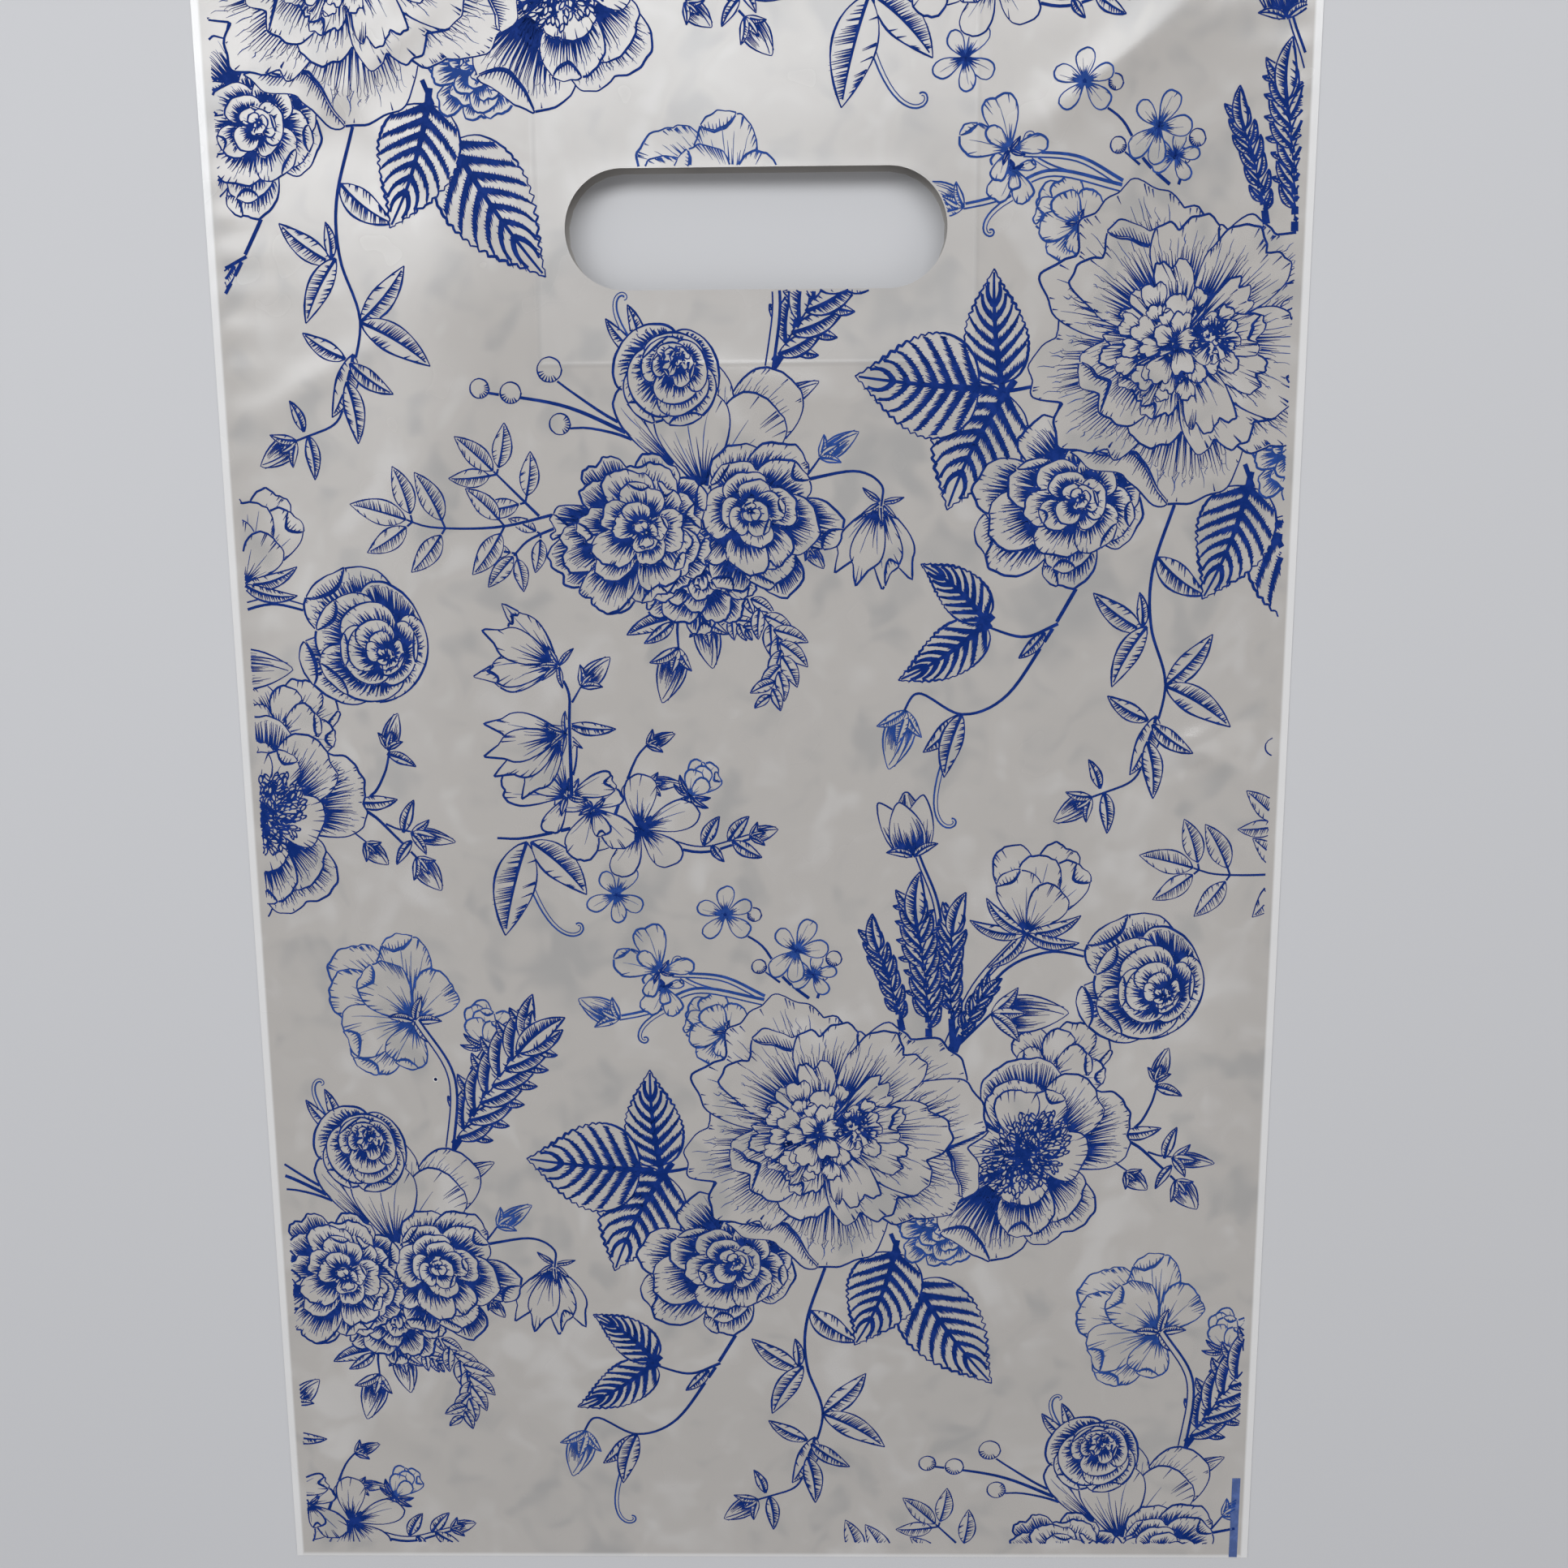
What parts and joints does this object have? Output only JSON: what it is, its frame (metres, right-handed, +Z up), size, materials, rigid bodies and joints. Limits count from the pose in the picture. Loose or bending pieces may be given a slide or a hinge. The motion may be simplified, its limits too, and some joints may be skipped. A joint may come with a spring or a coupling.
{
  "type": "plastic carrier bag",
  "caption": "Flat film carrier bag with a punched hand slot, welded sides, a folded bottom, an open mouth and an all-over blue flower print.",
  "frame": {"origin": "middle of the bag's flat back panel, on the surface that it lies on", "axes": "+Y towards the open mouth and the hand slot, +X across the bag, +Z up out of the front panel"},
  "size_m": [0.25, 0.4, 0.0067],
  "materials": {
    "printed_film": "milky pearl film with a soft gloss, printed in cobalt blue line work",
    "patch_film": "milky pearl film, unprinted"
  },
  "bodies": {
    "root": {"bag_film": "printed_film", "handle_patch_back": "patch_film", "handle_patch_front": "patch_film"}
  },
  "joints": []
}
